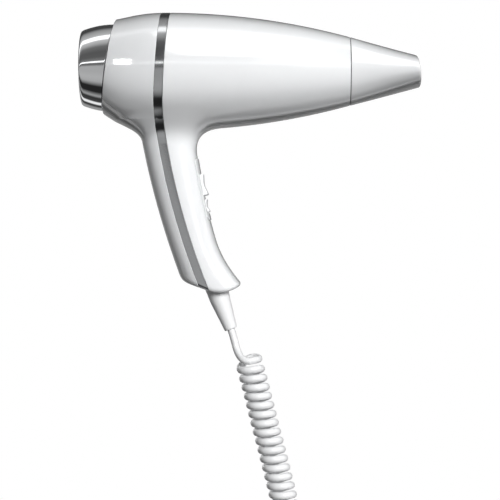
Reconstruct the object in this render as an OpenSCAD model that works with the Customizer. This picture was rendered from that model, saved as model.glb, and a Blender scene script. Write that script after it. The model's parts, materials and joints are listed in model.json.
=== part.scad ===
// Pistol-grip hair dryer with a pull-off filter cap, a turning air nozzle and a curly cord.
// Frame: +X along the barrel towards the nozzle, +Z up, Y across, origin at the grip's centre.

/* [Barrel] */
// Largest outside diameter of the barrel
barrel_d = 86; // [84:1:90]
// Height of the barrel axis above the grip centre
barrel_z = 98; // [97:1:100]
// Place of the widest section along the barrel
wide_x = -12; // [-14:1:-10]
// Length of the rear ellipse, from the widest section to its pole
rear_len = 73.4; // [72:0.2:78]
// Radius of the long arc that the front of the barrel follows
front_arc_r = 515; // [500:5:530]
// Place of the seam between barrel and nozzle
seam_x = 123.3; // [122:0.1:125]
// Wall thickness of the moulded shells
wall = 2.2; // [2:0.1:2.4]

/* [Nozzle] */
// Place of the nozzle mouth
mouth_x = 173.2; // [170:0.2:178]
// Half height of the mouth opening's outside
mouth_half_h = 11.4; // [10:0.2:13]
// Half width of the mouth opening's outside
mouth_half_w = 27; // [24:1:30]
// Wall thickness of the nozzle
nozzle_wall = 1.8; // [1.6:0.1:2]

/* [Filter cap] */
// Place of the cap's rear face
cap_rear_x = -73.5; // [-75:0.5:-72]
// Outside radius of the cap at its rear face
cap_rear_r = 27.3; // [27:0.1:28]
// Outside radius of the cap where it meets the rear shell
cap_front_r = 33; // [32.8:0.1:33.2]
// Height of the cap's axis above the barrel axis
cap_rise = 2.7; // [2.5:0.1:2.9]

/* [Handle] */
// Largest half width of the grip across Y
grip_half_w = 17; // [16.5:0.5:18]
// Width of the trim band and of its stripe down the handle
band_w = 6.8; // [6:0.2:7.4]

/* [Switches] */
// Height of the upper rocker's pivot
upper_rocker_z = 14.4; // [14.4:0.2:15]
// Height of the lower rocker's pivot
lower_rocker_z = -0.6; // [-1.4:0.2:-0.6]
// Height of the upper rocker cap
upper_rocker_h = 15.6; // [15:0.2:15.8]
// Height of the lower rocker cap
lower_rocker_h = 9.6; // [9:0.2:9.8]
// Width of a rocker cap
rocker_w = 13; // [12:0.5:13]

/* [Air and heat] */
// Number of blades on the fan
blade_count = 7; // [5:1:9]
// Number of guide vanes round the motor
vane_count = 6; // [5:1:8]
// Number of turns of heater wire
heater_turns = 8; // [6:1:9]

/* [Cord] */
// Diameter of the cord
cord_d = 5.5; // [5:0.5:6]
// Outside diameter of the curly part
coil_d = 20; // [19:0.5:21]

/* [Plug] */
// Diameter of the plug's round body
plug_d = 35; // [33:1:37]

/* [Hidden] */

fine = 96;
round_fn = 48;
big = 400;
barrel_r = barrel_d / 2 + 0.1;
running_gap = 0.03;
slip_gap = 0.3;

// The tilted plane where the filter cap meets the rear shell: its foot and its lean.
cap_plane_x = -53;
cap_plane_z = barrel_z + 3.1;
cap_plane_lean = 8.2;

// ---- barrel outline ----

function arc_drop(d) = front_arc_r - sqrt(front_arc_r * front_arc_r - d * d);
function rear_r(x) = barrel_r * sqrt(1 - pow((x - wide_x) / rear_len, 2));
function front_r(x) = barrel_r - arc_drop(x - wide_x);
function barrel_profile_r(x) = x < wide_x ? rear_r(x) : front_r(x);

barrel_rear_x = -66;
barrel_steps = 9;
front_steps = 13;
rear_xs = [for (i = [0 : barrel_steps]) barrel_rear_x + (wide_x - barrel_rear_x) * i / barrel_steps];
front_xs = [for (i = [1 : front_steps]) wide_x + (seam_x - wide_x) * i / front_steps];

// Revolved solid under the outline, thinned by inset, from the rear to the seam.
module barrel_solid(inset) {
    outline = concat(
        [[barrel_rear_x - inset, 0]],
        [[barrel_rear_x - inset, rear_r(barrel_rear_x) - inset]],
        [for (x = concat(rear_xs, front_xs)) [x, barrel_profile_r(x) - inset]],
        [[seam_x + inset, front_r(seam_x) - inset], [seam_x + inset, 0]]);
    along_x() rotate_extrude($fn = fine) polygon([for (p = outline) [p[1], p[0]]]);
}

// Turns a solid of revolution about Z so that it lies along X at the barrel axis.
module along_x() {
    translate([0, 0, barrel_z]) rotate([0, 90, 0]) children();
}

// A tube along X at the barrel axis, from x0 to x1.
module x_tube(x0, x1, r_out, r_in, fn = fine) {
    translate([x0, 0, barrel_z]) rotate([0, 90, 0]) difference() {
        cylinder(h = x1 - x0, r = r_out, $fn = fn);
        translate([0, 0, -1]) cylinder(h = x1 - x0 + 2, r = r_in, $fn = fn);
    }
}

// A rod along X at the barrel axis, from x0 to x1.
module x_rod(x0, x1, r, fn = round_fn) {
    translate([x0, 0, barrel_z]) rotate([0, 90, 0]) cylinder(h = x1 - x0, r = r, $fn = fn);
}

// ---- handle outline ----

handle_low_z = -60;
handle_top_z = 66;
flare_start_z = -25;
rear_fillet_z = 46;
front_fillet_z = 38;

function square_of(v) = v * v;
function past(v, limit) = max(0, v - limit);
// Rear edge of the grip, with its small fillet under the barrel.
function grip_rear_x(z) =
    -18.3 - 0.277 * z + 0.00092 * z * z - 0.045 * square_of(past(z, rear_fillet_z));
// Front edge of the grip, with its large fillet under the barrel and the flare at the foot.
function grip_front_x(z) =
    18 - 0.235 * z + 0.0011 * z * z
    + 0.0065 * square_of(past(-z, -flare_start_z))
    + 0.052 * square_of(past(z, front_fillet_z));
function grip_w(z) = grip_half_w + 0.012 * square_of(past(z, 44)) - 0.0006 * square_of(past(-z, 30));
// Underside of the handle: square to the grip at the back, level under the flare.
function foot_z(x) = -56 - 0.34 * past(x, 0) + 0.022 * square_of(past(x, 20)) + 0.55 * past(-x, 0);

section_sides = 24;
section_power = 2.35;
function side_power(v) = sign(v) * pow(abs(v), 2 / section_power);

handle_zs = [-60, -52, -44, -36, -26, -14, 0, 14, 28, 38, 46, 52, 58, 66];

// One ring of the handle at height z, thinned by inset; the lowest rings follow the foot.
function handle_ring(z, inset) =
    let (x0 = grip_rear_x(z) + inset, x1 = grip_front_x(z) - inset, w = grip_w(z) - inset,
         share = square_of((handle_top_z - z) / (handle_top_z - handle_low_z)))
    [for (i = [0 : section_sides - 1])
        let (a = 360 * i / section_sides,
             x = (x0 + x1) / 2 + (x1 - x0) / 2 * side_power(cos(a)),
             y = w * side_power(sin(a)))
        [x, y, z + share * (foot_z(x) - handle_low_z + inset)]];

// Closed solid through a list of rings that all have the same number of points.
module ring_sweep(rings) {
    n = len(rings[0]);
    k = len(rings);
    low = [for (axis = [0 : 2]) mean([for (p = rings[0]) p[axis]])];
    high = [for (axis = [0 : 2]) mean([for (p = rings[k - 1]) p[axis]])];
    points = concat([for (r = rings) each r], [low, high]);
    sides = [for (j = [0 : k - 2]) for (i = [0 : n - 1])
        let (a = j * n + i, b = j * n + (i + 1) % n)
        each [[a, a + n, b], [b, a + n, b + n]]];
    caps = [for (i = [0 : n - 1])
        each [[i, (i + 1) % n, k * n], [(k - 1) * n + (i + 1) % n, (k - 1) * n + i, k * n + 1]]];
    polyhedron(points = points, faces = concat(sides, caps), convexity = 6);
}

function mean(v) = v * [for (p = v) 1] / len(v);

module handle_solid(inset) {
    ring_sweep([for (z = handle_zs) handle_ring(z, inset)]);
}

// ---- shells ----

// Half space in front of the filter cap's plane.
module ahead_of_cap(gap) {
    translate([cap_plane_x, 0, cap_plane_z]) rotate([0, cap_plane_lean, 0])
        translate([gap, -big / 2, -big / 2]) cube([big, big, big]);
}

module behind_cap(gap) {
    translate([cap_plane_x, 0, cap_plane_z]) rotate([0, cap_plane_lean, 0])
        translate([-big - gap, -big / 2, -big / 2]) cube([big, big, big]);
}

// Middle line of the trim band: a leaning line on the barrel, a curve down the handle.
band_join_z = 55;
band_zs = [150, 55, 47, 39, 31, 23, 15, 7, -1, -9, -17, -25, -33, -41, -49, -57, -72];
function band_x(z) =
    z >= band_join_z ? -13.5 + 0.0523 * (z - barrel_z) : -5.6 - 0.247 * z + 0.0012 * z * z;

// Prism across Y between two lines that run beside the band's middle line.
module band_region(from, to) {
    outline = concat([for (z = band_zs) [band_x(z) + from, z]],
        [for (i = [len(band_zs) - 1 : -1 : 0]) [band_x(band_zs[i]) + to, band_zs[i]]]);
    rotate([90, 0, 0]) translate([0, 0, -big / 4])
        linear_extrude(height = big / 2) polygon(outline);
}

cap_spigot_r = 30.9;
spigot_hole_r = cap_spigot_r + slip_gap;

module shell_solid() {
    difference() {
        union() {
            barrel_solid(0);
            handle_solid(0);
        }
        barrel_solid(wall);
        handle_solid(wall);
    }
}

// Collar inside the rear shell's mouth that guides the filter cap's spigot.
module cap_guide() {
    intersection() {
        translate([-62, 0, barrel_z + cap_rise]) rotate([0, 90, 0]) difference() {
            cylinder(h = 19, r = 34.2, $fn = fine);
            translate([0, 0, -1]) cylinder(h = 21, r = spigot_hole_r, $fn = fine);
        }
        barrel_solid(wall / 2);
        ahead_of_cap(0);
    }
}

relief_x = 25.4;
relief_lean = 20;
relief_top_z = -62;
relief_shaft_r = 5.6;

// Places children at the cord outlet with Z along the outlet's own axis, pointing up and in.
module at_relief() {
    translate([relief_x, 0, relief_top_z]) rotate([0, -relief_lean, 0]) children();
}

screw_zs = [37, -36];
screw_r = 1.5;
screw_head_r = 3;
screw_head_len = 1.6;
screw_slot_w = 0.8;
screw_slot_len = 4;
screw_slot_deep = 0.8;
screw_seat = 2.8;
screw_pad = 4.4;

// Rod along X at height z on the handle's middle plane, from x0 to x1.
module grip_rod(x0, x1, z, r) {
    translate([x0, 0, z]) rotate([0, 90, 0]) cylinder(h = x1 - x0, r = r, $fn = round_fn);
}

module rear_shell() color("whitesmoke") {
    difference() {
        union() {
            intersection() {
                shell_solid();
                band_region(-big / 2, -band_w / 2);
                ahead_of_cap(0);
            }
            cap_guide();
            for (z = screw_zs) intersection() {
                grip_rod(grip_rear_x(z) - 4, grip_rear_x(z) + screw_pad, z, screw_head_r + 1.8);
                handle_solid(wall / 2);
            }
        }
        translate([-100, 0, barrel_z + cap_rise]) rotate([0, 90, 0])
            cylinder(h = 60, r = spigot_hole_r, $fn = fine);
        for (z = screw_zs) {
            grip_rod(-60, grip_rear_x(z) + screw_seat, z, screw_head_r + 0.2);
            grip_rod(-60, 10, z, screw_r + 0.2);
        }
    }
}

boss_len = 14;
boss_r = 3.6;
function boss_rear_x(z) = grip_front_x(z) - wall - boss_len + 0.6;

module front_shell() color("white") {
    difference() {
        union() {
            intersection() {
                shell_solid();
                band_region(band_w / 2, big / 2);
                translate([-big / 2, -big / 2, -big / 2]) cube([big / 2 + seam_x, big, big]);
            }
            for (z = screw_zs)
                grip_rod(boss_rear_x(z), boss_rear_x(z) + boss_len, z, boss_r);
        }
        x_rod(seam_x - wall - 1, seam_x + 9, front_r(seam_x) - wall, fine);
        for (z = screw_zs)
            grip_rod(boss_rear_x(z) - 1, boss_rear_x(z) + boss_len - 2, z, screw_r + 0.05);
        at_relief() {
            translate([0, 0, -10]) cylinder(h = 20, r = relief_shaft_r + 0.1, $fn = round_fn);
            translate([0, 0, relief_head_low - 0.05])
                cylinder(h = 8, r = relief_head_r + 0.1, $fn = round_fn);
        }
        bezel_block(0.1, bezel_cut);
    }
}

module trim_band() color("silver") {
    intersection() {
        shell_solid();
        band_region(-band_w / 2, band_w / 2);
    }
}

// ---- air duct and grille ----

duct_rear_x = -43;
duct_neck_x = 12;
duct_heat_x = 30;
duct_taper_x = 86;
duct_front_x = 108;
duct_fan_r = 30;
duct_heat_r = 26;
duct_exit_r = 20.6;
duct_wall = 1.3;

module inner_duct() color("dimgray") {
    lug_len = 14;
    lug_t = 2;
    lug_h = 9;
    path = [[duct_rear_x, duct_fan_r], [duct_neck_x, duct_fan_r], [duct_heat_x, duct_heat_r],
        [duct_taper_x, duct_heat_r], [duct_front_x, duct_exit_r]];
    outline = concat([for (p = path) [p[1], p[0]]],
        [for (i = [len(path) - 1 : -1 : 0]) [path[i][1] + duct_wall, path[i][0]]]);
    along_x() rotate_extrude($fn = fine) polygon(outline);
    for (a = [90, 210, 330])
        translate([0, 0, barrel_z]) rotate([a - 90, 0, 0])
            translate([-4, -lug_t / 2, duct_fan_r + 0.5]) cube([lug_len, lug_t, lug_h]);
}

// Flat wheel of rings joined by spokes, standing across X.
module ring_grille(x, thick, rings, ring_w, spokes, spoke_w, axis_z) {
    inner_r = rings[len(rings) - 1] - ring_w / 2;
    translate([x, 0, axis_z]) rotate([0, 90, 0]) linear_extrude(height = thick) {
        for (r = rings) difference() {
            circle(r = r, $fn = fine);
            circle(r = r - ring_w, $fn = fine);
        }
        for (i = [0 : spokes - 1]) rotate(360 * (i + 0.5) / spokes)
            translate([inner_r, -spoke_w / 2]) square([rings[0] - ring_w / 2 - inner_r, spoke_w]);
    }
}

module outlet_grille() color("dimgray") {
    ring_grille(duct_front_x, 2, [21.5, 15.5, 10, 4.5], 1.4, 6, 1.4, barrel_z);
}

// ---- fan and motor ----

motor_rear_x = -18;
motor_front_x = 13;
motor_r = 13.5;
motor_wall = 1;
shaft_r = 1;
bush_r = 3;
bush_len = 3;
endcap_t = 2;
magnet_in_r = 9.4;
magnet_gap = 6;

module guide_vanes() color("dimgray") {
    hub_in = motor_r + 0.05;
    hub_out = motor_r + 1.6;
    vane_t = 1.4;
    vane_len = 22;
    vane_rear_x = motor_rear_x + 2;
    x_tube(vane_rear_x, motor_front_x - 3, hub_out, hub_in);
    for (i = [0 : vane_count - 1])
        translate([vane_rear_x, 0, barrel_z]) rotate([360 * i / vane_count + 15, 0, 0])
            translate([0, -vane_t / 2, hub_out - 0.4])
                cube([vane_len, vane_t, duct_fan_r - hub_out + 0.35]);
}

module motor_can() color("gainsboro") {
    difference() {
        x_rod(motor_rear_x, motor_front_x, motor_r, fine);
        x_rod(motor_rear_x + motor_wall, motor_front_x + 1, motor_r - motor_wall, fine);
        x_rod(motor_rear_x - 1, motor_rear_x + motor_wall + 1, bush_r + 0.02, round_fn);
    }
}

module motor_endcap() color("ivory") {
    difference() {
        union() {
            x_rod(motor_front_x, motor_front_x + endcap_t, motor_r, fine);
            x_rod(motor_front_x - endcap_t, motor_front_x, motor_r - motor_wall - 0.05, fine);
        }
        x_rod(motor_front_x - 3, motor_front_x + 3, bush_r + 0.02, round_fn);
    }
}

module motor_bushes() color("darkgoldenrod") {
    x_tube(motor_rear_x, motor_rear_x + bush_len, bush_r, shaft_r + running_gap, round_fn);
    x_tube(motor_front_x - endcap_t, motor_front_x + endcap_t, bush_r, shaft_r + running_gap, round_fn);
}

module motor_magnets() color("slategray") {
    difference() {
        x_tube(motor_rear_x + 4, motor_front_x - 4, motor_r - motor_wall - 0.05, magnet_in_r);
        translate([motor_rear_x, -big / 2, barrel_z - magnet_gap / 2]) cube([40, big, magnet_gap]);
    }
}

module motor_shaft() color("silver") {
    x_rod(-38, motor_front_x + 1.5, shaft_r, round_fn);
}

armature_rear_x = motor_rear_x + 6;
armature_front_x = motor_front_x - 6;
armature_r = 8.8;
commutator_r = 3.6;
commutator_len = 3;

module armature() color("sienna") {
    x_tube(armature_rear_x, armature_front_x, armature_r, shaft_r, round_fn);
    x_tube(armature_front_x, armature_front_x + commutator_len, commutator_r, shaft_r, round_fn);
}

fan_rear_x = -37;
fan_front_x = -24;
fan_hub_r = 11;
fan_r = 29;
blade_t = 1.2;
blade_chord = 13;
blade_pitch = 38;

module impeller() color("darkslategray") {
    difference() {
        union() {
            x_rod(fan_rear_x + 2, fan_front_x, fan_hub_r, fine);
            x_rod(fan_rear_x, fan_rear_x + 2, fan_hub_r - 2, fine);
        }
        x_rod(fan_rear_x + 7, fan_front_x + 1, fan_hub_r - 1.6, fine);
        x_rod(fan_rear_x - 1, fan_front_x, shaft_r, round_fn);
    }
    for (i = [0 : blade_count - 1])
        translate([(fan_rear_x + fan_front_x) / 2 + 1, 0, barrel_z]) rotate([360 * i / blade_count, 0, 0])
            rotate([0, 0, blade_pitch]) translate([-blade_chord / 2, -blade_t / 2, fan_hub_r - 0.8])
                cube([blade_chord, blade_t, fan_r - fan_hub_r]);
}

// ---- electrics on the motor and in the air stream ----

board_x = motor_front_x + endcap_t;
board_t = 1.6;
board_r = 12;
capacitor_size = [6, 4.4, 4.6];

// Round board with four diodes standing on it.
module rectifier_board() color("seagreen") {
    difference() {
        x_rod(board_x, board_x + board_t, board_r, fine);
        x_rod(board_x - 1, board_x + board_t + 1, bush_r + 0.2, round_fn);
    }
    for (y = [-7.5, 7.5]) for (side = [-1, 1])
        translate([board_x + board_t - 0.1, y, barrel_z + side * 4.2]) rotate([0, 90, 0])
            cylinder(h = 4.5, r = 1.6, $fn = round_fn);
}

module suppression_capacitor() color("orange") {
    translate([board_x + board_t, -capacitor_size[1] / 2, barrel_z + 4.8]) cube(capacitor_size);
}

heater_rear_x = 36;
heater_front_x = 84;
plate_r = 20;
plate_t = 0.8;
plate_foot = 3;
coil_ring_r = 21.4;
coil_wire_r = 1.2;
coil_first_x = heater_rear_x + 6;
coil_step = 5.2;

module mica_tube() color("tan") {
    x_tube(heater_rear_x - 4, heater_front_x + 1, duct_heat_r - 0.15, duct_heat_r - 0.75);
}

module mica_frame() color("tan") {
    for (a = [0, 90]) translate([heater_rear_x, 0, barrel_z]) rotate([a + 45, 0, 0]) difference() {
        translate([0, -plate_t / 2, -plate_r]) cube([heater_front_x - heater_rear_x, plate_t, 2 * plate_r]);
        if (a == 90) translate([-1, -plate_t, -plate_t / 2]) cube([80, 2 * plate_t, plate_t]);
    }
    for (a = [45, 135, 225, 315])
        translate([heater_rear_x, 0, barrel_z]) rotate([a, 0, 0])
            for (x = [0, heater_front_x - heater_rear_x - plate_foot])
                translate([x, -plate_t / 2, plate_r - 0.5])
                    cube([plate_foot, plate_t, duct_heat_r - plate_r - 0.5]);
}

module heater_coils() color("slategray") {
    for (i = [0 : heater_turns - 1])
        translate([coil_first_x + coil_step * i, 0, barrel_z]) rotate([0, 90, 0])
            rotate_extrude($fn = round_fn) translate([coil_ring_r, 0]) circle(r = coil_wire_r, $fn = 16);
}

module thermostat() color("gray") {
    translate([heater_front_x - 16, 0, barrel_z + 8]) {
        translate([0, -7.3, 0]) cube([12, 14.6, 0.8]);
        translate([6, 0, 0.8]) cylinder(h = 3.5, r = 4, $fn = round_fn);
    }
}

module thermal_fuse() color("silver") {
    translate([heater_front_x - 24, 0, barrel_z - 9]) rotate([0, 90, 0]) {
        cylinder(h = 11, r = 2, $fn = round_fn);
        translate([0, 0, -4]) cylinder(h = 19, r = 0.5, $fn = 16);
    }
}

// ---- filter cap ----

module cap_cone(inset) {
    cone_r = cap_front_r + 0.4;
    translate([cap_rear_x, 0, barrel_z + cap_rise]) rotate([0, 90, 0]) rotate_extrude($fn = fine)
        polygon([[0, inset > 0 ? -1 : 0], [cap_rear_r - 1 - inset, inset > 0 ? -1 : 0],
            [cap_rear_r - inset, 1], [cap_rear_r + 2.9 - inset, 9.6], [cap_front_r - 1 - inset, 18],
            [cone_r - inset, 30], [0, 30]]);
}

module intake_collar() color("silver") {
    difference() {
        union() {
            intersection() {
                cap_cone(0);
                behind_cap(slip_gap);
            }
            translate([-62, 0, barrel_z + cap_rise]) rotate([0, 90, 0])
                cylinder(h = 16.5, r = cap_spigot_r, $fn = fine);
        }
        translate([cap_rear_x - 1, 0, barrel_z + cap_rise]) rotate([0, 90, 0])
            cylinder(h = 8, r = 23.5, $fn = fine);
        translate([cap_rear_x + 4.5, 0, barrel_z + cap_rise]) rotate([0, 90, 0])
            cylinder(h = 40, r = 25, $fn = fine);
        translate([-62, 0, barrel_z + cap_rise]) rotate([0, 90, 0])
            cylinder(h = 40, r = 28.9, $fn = fine);
    }
}

module intake_grille() color("gray") {
    ring_grille(cap_rear_x + 1, 2, [23.4, 19.2, 15, 10.8, 6.6], 1.4, 8, 1.2, barrel_z + cap_rise);
    difference() {
        translate([cap_rear_x + 1, 0, barrel_z + cap_rise]) rotate([0, 90, 0])
            cylinder(h = 2, r = 5.4, $fn = round_fn);
        translate([cap_rear_x, 0, barrel_z + cap_rise]) rotate([0, 90, 0])
            cylinder(h = 4, r = 1.5, $fn = round_fn);
    }
}

module lint_filter() color("darkgray") {
    filter_x = cap_rear_x + 4.6;
    translate([filter_x, 0, barrel_z + cap_rise]) rotate([0, 90, 0]) {
        difference() {
            cylinder(h = 1.6, r = 24.9, $fn = fine);
            translate([0, 0, -1]) cylinder(h = 4, r = 22.6, $fn = fine);
        }
        intersection() {
            cylinder(h = 0.8, r = 23, $fn = fine);
            union() for (i = [-5 : 5]) {
                translate([-25, i * 4 - 0.4, 0]) cube([50, 0.8, 0.8]);
                translate([i * 4 - 0.4, -25, 0]) cube([0.8, 50, 0.8]);
            }
        }
    }
}

// ---- nozzle ----

ring_rear_x = 112;
ring_r = 22.4;
ring_in_r = 20.2;
lip_x = seam_x + slip_gap;

module nozzle_ring() color("dimgray") {
    x_tube(ring_rear_x, seam_x + 2, ring_r, ring_in_r);
    x_tube(seam_x + 2, seam_x + 4, ring_r - 0.4, ring_in_r);
    x_tube(ring_rear_x + 3, ring_rear_x + 5, ring_r + 0.15, ring_r - 0.5);
}

nozzle_steps = 7;
mouth_lean = 0.137;

// One ring of the nozzle: round at the seam, flattening to the wide mouth that leans back.
function nozzle_ring_points(t, inset) =
    let (h0 = front_r(seam_x), ease = t * t * (3 - 2 * t),
         h = h0 + (mouth_half_h - h0) * t - inset,
         w = h0 + (mouth_half_w - h0) * ease - inset,
         x = lip_x + (mouth_x - lip_x) * t)
    [for (i = [0 : 31])
        let (a = 360 * i / 32, z = h * sin(a))
        [x - mouth_lean * z * t, w * cos(a), barrel_z + z]];

// The nozzle's passage starts behind the seam and runs out past the mouth.
module nozzle_body(inset, over) {
    ring_sweep(concat(
        [for (i = [0 : nozzle_steps]) nozzle_ring_points(i / nozzle_steps, inset)],
        over > 0 ? [[for (p = nozzle_ring_points(1, inset)) p + [over, 0, 0]]] : []));
}

seat_depth = 5;

module nozzle_shell() color("white") {
    difference() {
        nozzle_body(0, 0);
        difference() {
            nozzle_body(nozzle_wall, 5);
            translate([0, -big / 2, 0]) cube([lip_x + seat_depth + 2, big, big]);
        }
        x_rod(lip_x - 1, lip_x + seat_depth, ring_r + 0.08, fine);
        x_rod(lip_x - 1, lip_x + seat_depth + 3, ring_in_r, fine);
    }
}

// ---- switches ----

front_lean = -13.5;
pivot_depth = 4.6;
pivot_r = 1.2;
upper_proud = 3.3;
lower_proud = 1.8;
finger_dip = 1.2;
bezel_depth = 2.4;
bezel_cut = 7;
bezel_proud = 0.4;
bezel_w = 19;
bezel_top_z = 34;
bezel_low_z = -11;

// Pivot height and cap height of each rocker.
rockers = [[upper_rocker_z, upper_rocker_h], [lower_rocker_z, lower_rocker_h]];
rocker_gap = 0.7;

function rocker_x(z) = 18 - 0.235 * z + 0.15;

// Places children on the handle's front face at height z: X outwards, Z up along the face.
module at_front_face(z) {
    translate([rocker_x(z), 0, z]) rotate([0, front_lean, 0]) children();
}

// Block that fills the bezel's recess, grown by gap on its four edges.
module bezel_block(gap, depth) {
    mid_z = (bezel_top_z + bezel_low_z) / 2;
    long = (bezel_top_z - bezel_low_z) / cos(front_lean);
    at_front_face(mid_z)
        translate([-depth, -bezel_w / 2 - gap, -long / 2 - gap])
            cube([depth + 20, bezel_w + 2 * gap, long + 2 * gap]);
}

module switch_bezel() color("whitesmoke") {
    mid_z = (bezel_top_z + bezel_low_z) / 2;
    long = (bezel_top_z - bezel_low_z) / cos(front_lean);
    difference() {
        at_front_face(mid_z)
            translate([-bezel_depth, -bezel_w / 2, -long / 2])
                cube([bezel_depth + bezel_proud, bezel_w, long]);
        for (r = rockers)
            at_front_face(r[0]) translate([-10, -rocker_w / 2 - 0.3, -r[1] / 2 - rocker_gap])
                cube([20, rocker_w + 0.6, r[1] + 2 * rocker_gap]);
    }
}

// Paddle that stands proud of the handle at its two ends, with a dip for the finger between.
module rocker(z, h, proud) {
    half = h / 2;
    at_front_face(z) {
        rotate([90, 0, 0]) translate([0, 0, -rocker_w / 2]) linear_extrude(height = rocker_w)
            polygon([[proud, -half], [proud - finger_dip, 0], [proud, half], [-1, half],
                [-6.2, 2.5], [-6.2, -2.5], [-1, -half]]);
        translate([-pivot_depth, 0, 0]) rotate([90, 0, 0])
            translate([0, 0, -rocker_w / 2 - 2])
                cylinder(h = rocker_w + 4, r = pivot_r, $fn = round_fn);
    }
}

module upper_rocker() color("whitesmoke") rocker(upper_rocker_z, upper_rocker_h, upper_proud);

module lower_rocker() color("whitesmoke") rocker(lower_rocker_z, lower_rocker_h, lower_proud);

module switch_module(z, h) {
    cheek = 2;
    floor_x = -9.5;
    back_x = -16;
    half = h / 2 + 0.9;
    outer = rocker_w / 2 + 0.3 + cheek;
    at_front_face(z) difference() {
        translate([back_x, -outer, -half]) cube([-bezel_depth - 0.1 - back_x, 2 * outer, 2 * half]);
        translate([floor_x, -rocker_w / 2 - 0.3, -half - 1]) cube([20, rocker_w + 0.6, 2 * half + 2]);
        translate([-pivot_depth, 0, 0]) rotate([90, 0, 0])
            translate([0, 0, -20]) cylinder(h = 40, r = pivot_r + running_gap, $fn = round_fn);
    }
}

module upper_switch_module() color("dimgray") switch_module(upper_rocker_z, upper_rocker_h);

module lower_switch_module() color("dimgray") switch_module(lower_rocker_z, lower_rocker_h);

// ---- wiring, screws, cord outlet ----

// Straight rod between two points.
module rod(a, b, r) {
    d = b - a;
    long = norm(d);
    translate(a) rotate([0, acos(d[2] / long), atan2(d[1], d[0])]) cylinder(h = long, r = r, $fn = 16);
}

wire_r = 1.1;
wire_y = 11.5;
wire_route = [[16, 0, -46], [11, 0, -33], [6, 0, -20], [2, 0, -8], [-1, 0, 4], [-4, 0, 16], [-7, 0, 30],
    [-8, 0, 45], [-8, 0, 60]];

module wiring_harness() color("firebrick") {
    for (side = [-1, 1]) translate([0, side * wire_y, 0]) route_tube(wire_route, wire_r, 8);
    at_relief() translate([0, 0, relief_head_top]) cylinder(h = 12, r = cord_d / 2, $fn = round_fn);
}

module housing_screws() color("silver") {
    for (z = screw_zs) {
        seat_x = grip_rear_x(z) + screw_seat;
        translate([seat_x - screw_head_len, 0, z]) rotate([0, 90, 0]) difference() {
            cylinder(h = screw_head_len, r = screw_head_r, $fn = round_fn);
            for (turn = [0, 90]) rotate(turn)
                translate([-screw_slot_len / 2, -screw_slot_w / 2, -1])
                    cube([screw_slot_len, screw_slot_w, 1 + screw_slot_deep]);
        }
        grip_rod(seat_x, boss_rear_x(z) + boss_len - 3, z, screw_r);
    }
}

clamp_base_z = 9;

module cord_clamp() color("ivory") {
    at_relief() difference() {
        translate([-5, -9, clamp_base_z]) cube([10, 18, 5]);
        translate([0, 0, clamp_base_z - 1]) cylinder(h = 8, r = cord_d / 2 + 0.1, $fn = round_fn);
        for (y = [-6.2, 6.2]) translate([-6, y, clamp_base_z + 2.5]) rotate([0, 90, 0])
            cylinder(h = 12, r = 1.3, $fn = round_fn);
    }
}

module clamp_screws() color("silver") {
    at_relief() for (y = [-6.2, 6.2]) translate([-5, y, clamp_base_z + 2.5]) rotate([0, 90, 0]) {
        cylinder(h = 8, r = 1.25, $fn = round_fn);
        translate([0, 0, -1.5]) cylinder(h = 1.5, r = 2.2, $fn = round_fn);
    }
}

relief_flange_r = 8;
relief_head_r = 6.9;
relief_head_top = 6.2;
relief_head_low = 4.2;
relief_end_r = 5;
relief_len = 31;

module relief_collar() color("lightgray") {
    at_relief() difference() {
        translate([0, 0, -6.6]) cylinder(h = 4.6, r = relief_flange_r, $fn = round_fn);
        translate([0, 0, -8]) cylinder(h = 8, r = relief_shaft_r + 0.05, $fn = round_fn);
    }
}

module strain_relief() color("whitesmoke") {
    at_relief() rotate_extrude($fn = round_fn) polygon([
        [0, relief_head_top], [relief_head_r, relief_head_top], [relief_head_r, relief_head_low],
        [relief_shaft_r, relief_head_low], [relief_shaft_r, -6.7], [relief_flange_r - 0.4, -6.7],
        [relief_end_r, -relief_len], [0, -relief_len]]);
}

// ---- cord ----

// Where the cord leaves the strain relief.
relief_exit = [36, 0, -91.2];
// Route of the plain lead, from the strain relief to the first turn of the curly part.
lead_route = [[36, 0, -91.2], [37.5, 0, -96], [39, 0, -101], [40, 0, -106], [41, 0, -111]];
// Middle line of the curly part, which leans at first and then hangs straight down.
coil_route = [[48, 0, -110], [54, 0, -133], [60, 0, -157], [66, 0, -180], [72, 0, -204],
    [77, 0, -226], [81, 0, -246], [84, 0, -266], [86, 0, -288], [87, 0, -310], [87, 0, -328],
    [87, 0, -345]];
// Route of the plain tail, from the last turn to the plug.
tail_route = [[80, 0, -345], [80, 0, -350], [81, 0, -356], [84, 0, -363], [86, 0, -370], [87, 0, -379]];

function unit(v) = v / norm(v);
function route_dir(r, i) =
    unit(r[min(i + 1, len(r) - 1)] - r[max(i - 1, 0)]);
// Ring square to the route, at its point i, for a route that lies in the XZ plane.
function route_ring(r, i, radius, sides) =
    let (d = route_dir(r, i), side = [d[2], 0, -d[0]])
    [for (k = [0 : sides - 1])
        let (a = 360 * k / sides)
        r[i] + radius * (cos(a) * side + sin(a) * [0, 1, 0])];

module route_tube(r, radius, sides) {
    ring_sweep([for (i = [0 : len(r) - 1]) route_ring(r, i, radius, sides)]);
}

module cord_lead() color("white") route_tube(lead_route, cord_d / 2, 10);

module cord_coil() color("white") route_tube(coil_route, coil_d / 2, 12);

module cord_tail() color("white") route_tube(tail_route, cord_d / 2, 10);

// ---- plug ----

plug_x = 87;
plug_top_z = tail_route[len(tail_route) - 1][2];
plug_relief_len = 17;
plug_relief_top_r = 4.2;
plug_relief_low_r = 6.5;
plug_len = 32;
plug_neck_r = 8;
// The two pins of a standard round plug.
pin_d = 4.8;
pin_len = 19;
pin_gap = 19;
pin_root_r = 1.9;
pin_tip_len = 2;
pin_socket = 12;
plug_face_z = plug_top_z - plug_relief_len - plug_len;

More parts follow.
